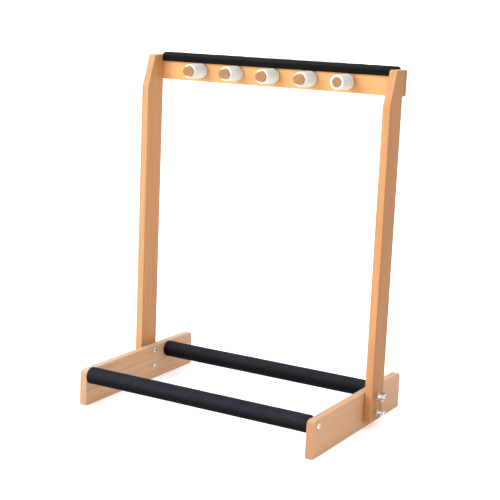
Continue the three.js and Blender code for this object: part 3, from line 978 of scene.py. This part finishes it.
# %% Rail cover
COVER_WALL = 0.005
COVER_SHOULDER = 0.0026
SHOULDER_STEPS = 8
SIDE_STEPS = 13
TOP_STEPS = 3
LIP_EASE = 0.0012
LIP_SHARES = (0.0, 0.15, 0.4, 0.75)
END_EASE = 0.0012
TOP_END_EASE = 0.0042
END_PLACES = (0.0, 0.0003, 0.0007, END_EASE, 0.002, 0.003, TOP_END_EASE)
COVER_PITCH = 0.006
COVER_WANDER = 0.0005
WANDER_RATE = 60
WANDER_SEED = 5


def rounding(distance, radius):
    """How far a rounded edge stands back at a distance from the end."""
    if distance >= radius:
        return 0.0
    return radius - math.sqrt(radius * radius - (radius - distance) ** 2)


def u_path(half_width, bottom, top):
    """(y, z, normal y, normal z, distance from the lip) along the middle of the wall."""
    straight = top - COVER_SHOULDER - bottom
    lengths = [LIP_EASE * share for share in LIP_SHARES]
    lengths += [LIP_EASE + (straight - LIP_EASE) * step / SIDE_STEPS
                for step in range(SIDE_STEPS + 1)]
    points = [(-half_width, bottom + length, -1.0, 0.0, length) for length in lengths]
    for turn in quarter_turns(SHOULDER_STEPS)[1:]:
        y = -half_width + COVER_SHOULDER * (1 - math.cos(turn))
        z = top - COVER_SHOULDER * (1 - math.sin(turn))
        points.append((y, z, -math.cos(turn), math.sin(turn), straight))
    flat = half_width - COVER_SHOULDER
    points += [(-flat * (1 - step / TOP_STEPS), top, 0.0, 1.0, straight)
               for step in range(1, TOP_STEPS)]
    points.append((0.0, top, 0.0, 1.0, straight))
    return points + [(-y, z, -ny, nz, far) for y, z, ny, nz, far in reversed(points[:-1])]


def cover_section(shape, path, x, end_distance, middle_y):
    """One U of points at x: its outside, and then its inside the other way round."""
    outside, inside = [], []
    side_back = rounding(end_distance, END_EASE)
    top_back = rounding(end_distance, TOP_END_EASE)
    for y, z, ny, nz, far in path:
        half = COVER_WALL / 2 - rounding(far, LIP_EASE)
        soft = COVER_WANDER * noise.noise(Vector((x * WANDER_RATE,
                                                  y * WANDER_RATE + WANDER_SEED,
                                                  z * WANDER_RATE)))
        out = half + soft - side_back * ny * ny - top_back * nz * nz
        outside.append(shape.verts.new((x, middle_y + y + ny * out, z + nz * out)))
        inside.append(shape.verts.new((x, middle_y + y - ny * half, z - nz * half)))
    return outside + inside[::-1]


def make_cover():
    low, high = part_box("rail_foam_cover")
    length = high.x - low.x
    path = u_path((high.y - low.y - COVER_WALL) / 2, low.z, high.z - COVER_WALL / 2)
    count = round(length / COVER_PITCH)
    inner = [TOP_END_EASE + (length - 2 * TOP_END_EASE) * step / count
             for step in range(1, count)]
    places = [*END_PLACES, *inner, *(length - place for place in reversed(END_PLACES))]
    shape = bmesh.new()
    sections = [cover_section(shape, path, low.x + place, min(place, length - place),
                              (low.y + high.y) / 2)
                for place in places]
    for before, after in zip(sections, sections[1:]):
        bridge(shape, before, after)
    for section in (sections[0], sections[-1]):
        for index in range(len(path) - 1):
            shape.faces.new((section[index], section[index + 1],
                             section[-index - 2], section[-index - 1]))
    return shade(piece_from(shape, "rail_cover"))


cover = dress(make_cover(), cover_foam, "black_foam", "stand", "rail_foam_cover")
print(cover.name, len(cover.data.vertices), "points")

# %% [markdown]
# ## Turned pieces
#
# Pegs, bolts and screws are turned: a profile of (radius, height) pairs, swept round.
# Where a ring isn't round, such as the hexagon in a bolt's head, its radius is a function
# of the angle. The profile may start and end on the axis, which closes the piece. A
# recess in a turned head is found by where its faces lie, and marked for the finish.

# %% Turning helper


def turned(profile, sides, name):
    """A piece along +Z from (radius, height) pairs. A radius may depend on the angle."""
    shape = bmesh.new()
    angles = [2 * math.pi * side / sides for side in range(sides)]
    rings = []
    for radius, height in profile:
        if radius == 0:
            rings.append([shape.verts.new((0, 0, height))])
            continue
        spokes = [radius(angle) if callable(radius) else radius for angle in angles]
        rings.append([shape.verts.new((spoke * math.cos(angle), spoke * math.sin(angle),
                                       height))
                      for spoke, angle in zip(spokes, angles)])
    for lower, upper in zip(rings, rings[1:]):
        if len(lower) > 1 and len(upper) > 1:
            bridge(shape, lower, upper)
            continue
        pole, ring = (lower[0], upper) if len(lower) == 1 else (upper[0], lower)
        for index in range(len(ring)):
            shape.faces.new((pole, ring[index - 1], ring[index]))
    return piece_from(shape, name)


def within(radius, low, high):
    """1 for a face that lies within a radius of the axis, between two heights, or else 0."""
    def value_of(face):
        centre = face.calc_center_median()
        return float(centre.xy.length < radius and low < centre.z < high)
    return value_of


print("turning helpers ready")

# %% [markdown]
# ## Setting out copies
#
# The same turned piece is needed in several places. A second recipe puts a copy on every
# point of a small mesh, turned as that point's `turn` attribute says, and makes all the
# copies real, so that each body gets one mesh.

# %% The set_out recipe
set_out = Recipe("set_out", pattern=None)


def write_set_out(recipe):
    pattern = recipe.node("GeometryNodeObjectInfo", None,
                          {"Object": recipe.given("pattern")}, out="Geometry")
    turn = recipe.node("GeometryNodeInputNamedAttribute", {"data_type": "FLOAT_VECTOR"},
                       {"Name": "turn"})
    points = recipe.node("GeometryNodeMeshToPoints", None,
                         {"Mesh": recipe.given("Geometry")})
    recipe.end(recipe.node("GeometryNodeInstanceOnPoints", None,
                           {"Points": points, "Instance": pattern, "Rotation": turn}))


def copies(name, pattern, places, material):
    """One piece of a pattern's copies. Each place is a 4 x 4 matrix."""
    base = bpy.data.meshes.new(name)
    base.from_pydata([place.translation for place in places], [], [])
    turns = base.attributes.new("turn", "FLOAT_VECTOR", "POINT")
    turns.data.foreach_set("vector", [part for place in places for part in place.to_euler()])
    made = set_out.make(name, base, pattern=pattern, material=material)
    bpy.data.objects.remove(pattern)
    return made


write_set_out(set_out)
print("set_out recipe has", len(set_out.tree.nodes), "nodes")

# %% [markdown]
# ## The pegs
#
# Five lengths of beech dowel are glued into the rail. Their front ends have a small
# rounded edge, and show end grain.

# %% Pegs
PEG_SIDES = 64
PEG_END_EASE = 0.0012
PEG_END_STEPS = 5
PEG_FIRST_RING = 0.004

peg_low, peg_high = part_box(PEGS[0])
peg_radius = (peg_high.z - peg_low.z) / 2
peg_length = peg_high.y - peg_low.y
peg_profile = [(0, 0.0), (peg_radius / 2, 0.0)]
for turn in quarter_turns(PEG_END_STEPS):
    peg_profile.append((peg_radius - PEG_END_EASE * (1 - math.sin(turn)),
                        PEG_END_EASE * (1 - math.cos(turn))))
peg_profile += [(peg_radius, PEG_FIRST_RING), (peg_radius, peg_length), (0, peg_length)]
dowel = turned(peg_profile, PEG_SIDES, "dowel")
mark_faces(dowel, "sawn_end", looking_along(Z_AXIS))
shade(dowel)
pegs = copies("pegs", dowel, [Matrix.Translation((middle(peg).x, peg_low.y, middle(peg).z))
                              @ ALONG_Y for peg in PEGS], BEECH["dowel"])
dress(pegs, BEECH["dowel"], "beech", "stand", *PEGS)
print("pegs of", round(peg_length * 1000, 1), "mm")

# %% [markdown]
# ## Threads
#
# A thread is a V that winds round a rod. On a finely ringed rod it is a rule for how far
# a point moves inwards: the height along the rod, in pitches, less the share of a turn.
# A third recipe does that between two heights, and fades out at both.

# %% The cut_thread recipe
THREAD_PITCH = 0.0008
THREAD_DEPTH = 0.00042
ON_ROD_SHARE = 0.02
thread = Recipe("cut_thread", radius=0.0025, start=0.0, stop=0.01, pitch=THREAD_PITCH,
                depth=THREAD_DEPTH)


def write_thread(recipe):
    x, y, z = recipe.split(recipe.node("GeometryNodeInputPosition"))
    radius, pitch = recipe.given("radius"), recipe.given("pitch")
    start, stop = recipe.given("start"), recipe.given("stop")
    turns = recipe.math("FRACT", z / pitch - recipe.math("ARCTAN2", y, x) / (2 * math.pi))
    flank = recipe.math("ABSOLUTE", turns * 2 - 1)
    here = z.step(start, start + pitch) * (1 - z.step(stop - pitch * 0.5, stop))
    distance = (x * x + y * y) ** 0.5
    on_rod = recipe.math("COMPARE", distance, radius, radius * ON_ROD_SHARE)
    pull = (flank - 1) * here * on_rod * recipe.given("depth") / radius
    recipe.end(recipe.node("GeometryNodeSetPosition", None,
                           {"Geometry": recipe.given("Geometry"),
                            "Offset": recipe.join(x * pull, y * pull, 0.0)}))


write_thread(thread)
print("thread recipe has", len(thread.tree.nodes), "nodes")

# %% [markdown]
# ## Bolts
#
# The bolts have low domed heads with a hexagon socket. A post's bolt goes through foot
# and post from the inside, so its head is on the foot's inner face. A bar's bolt goes
# from outside through the foot into the bar.

# %% Bolts
BOLT_SIDES = 48
BOLT_RADIUS = 0.0025
HEAD_RADIUS = 0.005
HEAD_HEIGHT = 0.003
HEAD_RIM = 0.0008
HEAD_EDGE_EASE = 0.0002
HEAD_FLAT_SHARE = 0.46
DOME_STEPS = 8
SOCKET_ACROSS = 0.003
SOCKET_DEPTH = 0.0016
SOCKET_POINT = 0.0004
SOCKET_MOUTH = 0.0003
SOCKET_MOUTH_DEPTH = 0.0001
SOCKET_CORNERS_SHARE = 0.56
TIP_EASE = 0.0006
THREAD_LENGTH = 0.020
RINGS_IN_A_PITCH = 8


def hexagon(across):
    """The radius at each angle of a hexagon that is so wide across its flats."""
    def radius(angle):
        return across / 2 / math.cos((angle + math.pi / 6) % (math.pi / 3) - math.pi / 6)
    return radius


def bolt(name, length):
    """A bolt along +Z, with the underside of its head at zero."""
    socket_floor = SOCKET_DEPTH - HEAD_HEIGHT
    socket_bottom = socket_floor + SOCKET_POINT
    thread_start, thread_stop = length - THREAD_LENGTH, length - TIP_EASE
    profile = [(0, socket_bottom), (hexagon(SOCKET_ACROSS), socket_floor),
               (hexagon(SOCKET_ACROSS), SOCKET_MOUTH_DEPTH - HEAD_HEIGHT),
               (hexagon(SOCKET_ACROSS + SOCKET_MOUTH), -HEAD_HEIGHT)]
    flat = HEAD_RADIUS * HEAD_FLAT_SHARE
    rise = HEAD_HEIGHT - HEAD_RIM
    for turn in quarter_turns(DOME_STEPS):
        profile.append((flat + (HEAD_RADIUS - flat) * math.sin(turn),
                        -HEAD_RIM - rise * math.cos(turn)))
    profile += [(HEAD_RADIUS, -HEAD_EDGE_EASE), (HEAD_RADIUS - HEAD_EDGE_EASE, 0.0),
                (BOLT_RADIUS, 0.0), (BOLT_RADIUS, thread_start)]
    rings = round((thread_stop - thread_start) / THREAD_PITCH * RINGS_IN_A_PITCH)
    profile += [(BOLT_RADIUS, thread_start + (thread_stop - thread_start) * ring / rings)
                for ring in range(1, rings + 1)]
    profile += [(BOLT_RADIUS - TIP_EASE, length), (0, length)]
    plain = turned(profile, BOLT_SIDES, name)
    mark_faces(plain, "recess", within(SOCKET_ACROSS * SOCKET_CORNERS_SHARE, -HEAD_HEIGHT,
                                       socket_bottom))
    cut = thread.make(f"{name}_cut", plain.data, start=thread_start, stop=thread_stop,
                      material=zinc_steel)
    bpy.data.objects.remove(plain)
    return shade(cut)


print("a bolt's head is", HEAD_RADIUS * 2000, "mm wide")

# %% [markdown]
# Each head came to rest at another angle when it was tightened, so every bolt has a spin
# of its own, in radians. The threaded inserts in the bars' ends show nowhere, so their
# measured solids stay, in brass.

# %% Set the bolts
POST_BOLT_SPINS = (0.4, 1.7, 1.4, 2.7)
BAR_BOLT_SPINS = (0.9, 1.6, 2.9, 3.6)


def reach(node):
    """How far out from the middle of the stand a solid begins, and where it ends."""
    low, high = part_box(node)
    return sorted((abs(low.x), abs(high.x)))


def set_bolts(name, nodes, spins, way):
    """Bolts whose tips point out of the stand where way is 1, or into it where it is -1."""
    places = []
    for node, spin in zip(nodes, spins):
        near, far = reach(node)
        centre = middle(node)
        side = math.copysign(1, centre.x)
        head = near + HEAD_HEIGHT if way == 1 else far - HEAD_HEIGHT
        places.append(Matrix.Translation((side * head, centre.y, centre.z))
                      @ Matrix.Rotation(side * way * math.pi / 2, 4, "Y")
                      @ Matrix.Rotation(spin, 4, "Z"))
    length = far - near - HEAD_HEIGHT
    bolts = copies(name, bolt(f"{name}_pattern", length), places, zinc_steel)
    dress(bolts, zinc_steel, "zinc_steel", "stand", *nodes)
    print(name, "of", round(length * 1000, 1), "mm")


set_bolts("post_bolts", post_bolts("left") + post_bolts("right"), POST_BOLT_SPINS, 1)
set_bolts("bar_bolts", bar_bolts("left") + bar_bolts("right"), BAR_BOLT_SPINS, -1)
for side in SIDES:
    for bar in BARS:
        coat(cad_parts[f"{side}_{bar}_insert"], brass)

# %% [markdown]
# ## Rail screws
#
# Four countersunk wood screws hold the rail to the posts from behind. Their heads are
# flush with the rail, with a crossed recess. A wood screw's thread is coarser than a
# bolt's and ends where its point begins, so the thread recipe gets other sizes.

# %% Screws
SCREW_RADIUS = 0.002
SCREW_HEAD_RADIUS = 0.004
SCREW_HEAD_HEIGHT = 0.0024
SCREW_HEAD_RIM = 0.0005
SCREW_EDGE_WIDTH = 0.0001
SCREW_EDGE_HEIGHT = 0.0002
SCREW_TIP = 0.004
SCREW_TIP_RADIUS = 0.0003
SCREW_RINGS = 120
SCREW_THREAD = {"start": 0.012, "pitch": 0.0018, "depth": 0.0006}
SCREW_SPIN = 0.5
CROSS_REACH = 0.0023
CROSS_WIDTH = 0.0011
CROSS_DEPTH = 0.0011
CROSS_POINT = 0.0004
CROSS_FLOOR_SHARES = (0.6, 0.7)
SMALLEST_SINE = 1e-6


def cross(reach, width):
    """The radius at each angle of a plus sign with arms of that reach and width."""
    def radius(angle):
        fold = abs((angle + math.pi / 4) % (math.pi / 2) - math.pi / 4)
        return min(reach / math.cos(fold), width / 2 / max(math.sin(fold), SMALLEST_SINE))
    return radius


screw_low, screw_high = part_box(SCREWS[0])
screw_length = screw_high.y - screw_low.y
cross_floor = cross(CROSS_REACH * CROSS_FLOOR_SHARES[0], CROSS_WIDTH * CROSS_FLOOR_SHARES[1])
cross_bottom = CROSS_DEPTH + CROSS_POINT
shank = screw_length - SCREW_HEAD_HEIGHT - SCREW_TIP
screw_profile = [(0, cross_bottom), (cross_floor, CROSS_DEPTH),
                 (cross(CROSS_REACH, CROSS_WIDTH), 0.0),
                 (SCREW_HEAD_RADIUS - SCREW_EDGE_WIDTH, 0.0),
                 (SCREW_HEAD_RADIUS, SCREW_EDGE_HEIGHT), (SCREW_HEAD_RADIUS, SCREW_HEAD_RIM),
                 (SCREW_RADIUS, SCREW_HEAD_HEIGHT)]
screw_profile += [(SCREW_RADIUS, SCREW_HEAD_HEIGHT + shank * ring / SCREW_RINGS)
                  for ring in range(1, SCREW_RINGS + 1)]
screw_profile += [(SCREW_TIP_RADIUS, screw_length - SCREW_TIP_RADIUS), (0, screw_length)]
blank = turned(screw_profile, BOLT_SIDES, "screw_blank")
mark_faces(blank, "recess", within(CROSS_REACH, 0.0, cross_bottom))
screw = thread.make("screw", blank.data, radius=SCREW_RADIUS, stop=screw_length - SCREW_TIP,
                    material=zinc_steel, **SCREW_THREAD)
bpy.data.objects.remove(blank)
screws = copies("rail_screws", shade(screw),
                [Matrix.Translation((middle(name).x, screw_high.y, middle(name).z))
                 @ FACING_Y @ Matrix.Rotation(SCREW_SPIN * number, 4, "Z")
                 for number, name in enumerate(SCREWS)], zinc_steel)
dress(screws, zinc_steel, "zinc_steel", "stand", *SCREWS)
print("screws of", round(screw_length * 1000, 1), "mm")

# %% [markdown]
# ## Washers
#
# A washer is a very short tube, so the foam tube's recipe makes it too, with hardly any
# rounding and no wander. Each washer travels with its wing nut, so each is a piece of its
# own.

# %% Washers
WASHER_EASE = 0.00018
WASHER_SIDES = 64

for side in SIDES:
    for place in BOLT_PLACES:
        node = f"{side}_{place}_washer"
        ring = fitted_tube(f"{node}_ring", node, X_AXIS, ALONG_X, inner=BOLT_HOLE_RADIUS,
                           ease=WASHER_EASE, wander=0.0, rings=1, sides=WASHER_SIDES,
                           material=zinc_steel)
        dress(shade(ring), zinc_steel, "zinc_steel", node, node)
print("four washers")

# %% [markdown]
# ## Wing nuts
#
# A wing nut is a cast piece: a hub and two wings that run into each other with soft
# fillets. A boolean alone leaves hard joints. So the plain hub and wings are joined by a
# fine voxel remesh and smoothed a little, and the bore is cut afterwards, to be crisp.

# %% Wing nut
NUT_BASE_RADIUS = 0.005
NUT_TOP_RADIUS = 0.004
NUT_HEIGHT = 0.0065
NUT_RIM = 0.0014
NUT_EASE = 0.0003
NUT_SIDES = 64
NUT_BORE_RADIUS = 0.0027
BORE_SINK = 0.0004
BORE_FLARE = 0.001
WING_TIP = 0.010
WING_HEIGHT = 0.0125
WING_LOBE = 0.003
WING_BEND_STEPS = 8
LOBE_STEPS = 12
WING_ROOT = 0.0024
WING_ROOT_LOW = 0.0012
WING_ROOT_DROP = 0.0005
WING_ROOT_HALF = 0.0014
WING_TIP_HALF = 0.0009
CAST_VOXEL = 0.00022
CAST_SOFTNESS = 0.5
CAST_PASSES = 5
CAST_CRISP_ANGLE = math.radians(65)


def wing_outline():
    """The wing's outline in its own plane, from its root up round the lobe."""
    lobe = Vector((WING_TIP - WING_LOBE, WING_HEIGHT - WING_LOBE))
    root = Vector((WING_ROOT, WING_ROOT_LOW))
    bend = Vector((WING_TIP, NUT_HEIGHT / 2))
    tip = Vector((WING_TIP, lobe.y))
    points = []
    for step in range(WING_BEND_STEPS + 1):
        share = step / WING_BEND_STEPS
        points.append(root * (1 - share) ** 2 + bend * 2 * share * (1 - share)
                      + tip * share ** 2)
    for step in range(1, LOBE_STEPS + 1):
        turn = math.pi * step / LOBE_STEPS
        points.append(lobe + WING_LOBE * Vector((math.cos(turn), math.sin(turn))))
    points.append(Vector((WING_ROOT, NUT_HEIGHT - WING_ROOT_DROP)))
    return points


def add_wing(shape, way):
    """A wing in the XZ plane that is thinner at its tip."""
    faces = []
    for side in (-1, 1):
        points = []
        for point in wing_outline():
            out = min(1.0, max(0.0, (point.x - WING_ROOT) / (WING_TIP - WING_ROOT)))
            half = WING_ROOT_HALF + (WING_TIP_HALF - WING_ROOT_HALF) * out
            points.append(shape.verts.new((way * point.x, side * half, point.y)))
        faces.append(points)
    bridge(shape, *faces)
    for points in faces:
        shape.faces.new(points)


def wing_nut():
    """A wing nut along +Z from its seat, with its wings along X."""
    hub = turned([(0, 0.0), (NUT_BASE_RADIUS - NUT_EASE, 0.0), (NUT_BASE_RADIUS, NUT_EASE),
                  (NUT_BASE_RADIUS, NUT_RIM), (NUT_TOP_RADIUS, NUT_HEIGHT - NUT_EASE),
                  (NUT_TOP_RADIUS - NUT_EASE, NUT_HEIGHT), (0, NUT_HEIGHT)], NUT_SIDES, "hub")
    shape = bmesh.new()
    shape.from_mesh(hub.data)
    bpy.data.objects.remove(hub)
    for way in (-1, 1):
        add_wing(shape, way)
    nut = piece_from(shape, "wing_nut")
    remesh = nut.modifiers.new("cast", "REMESH")
    remesh.mode = "VOXEL"
    remesh.voxel_size = CAST_VOXEL
    soften = nut.modifiers.new("soften", "SMOOTH")
    soften.factor = CAST_SOFTNESS
    soften.iterations = CAST_PASSES
    settle(nut)
    mouth = (NUT_BORE_RADIUS + BORE_FLARE, BORE_FLARE - BORE_SINK)
    bore = turned([(0, -BORE_FLARE), (mouth[0], -mouth[1]), (NUT_BORE_RADIUS, BORE_SINK),
                   (NUT_BORE_RADIUS, NUT_HEIGHT - BORE_SINK),
                   (mouth[0], NUT_HEIGHT + mouth[1]), (0, NUT_HEIGHT + BORE_FLARE)],
                  NUT_SIDES, "bore")
    drill = nut.modifiers.new("bore", "BOOLEAN")
    drill.operation = "DIFFERENCE"
    drill.solver = "EXACT"
    drill.object = bore
    settle(nut)
    bpy.data.objects.remove(bore)
    return nut


cast_nut = shade(wing_nut(), CAST_CRISP_ANGLE)
print("wing nut has", len(cast_nut.data.polygons), "faces")

# %% [markdown]
# Each nut was left where it came to rest when it was tightened. The upper pair leans
# halfway between upright and flat, and the lower pair nearly lies along the foot.

# %% Set the wing nuts
WING_LEAN = {"upper": math.radians(48), "lower": math.radians(80)}

for side in SIDES:
    for place in BOLT_PLACES:
        centre = middle(f"{side}_{place}_washer")
        seat = reach(f"{side}_{place}_wing_nut")[0]
        lean = WING_LEAN[place]
        axis = Vector((math.copysign(1, centre.x), 0, 0))
        wings = Vector((0, math.sin(lean), math.cos(lean)))
        turn = Matrix((wings, axis.cross(wings), axis)).transposed().to_4x4()
        nut = add_object(f"{side}_{place}_nut", cast_nut.data.copy())
        nut.data.transform(Matrix.Translation((axis.x * seat, centre.y, centre.z)) @ turn)
        dress(nut, zinc_steel, "zinc_steel", f"{side}_{place}_nut",
              f"{side}_{place}_wing_nut")
bpy.data.objects.remove(cast_nut)
print("four wing nuts")

# %% [markdown]
# ## Last
#
# The fine pieces must keep to the stand's measured size, so the stand's box is found after
# they were made.

# %% Sizes and finish
low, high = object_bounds()
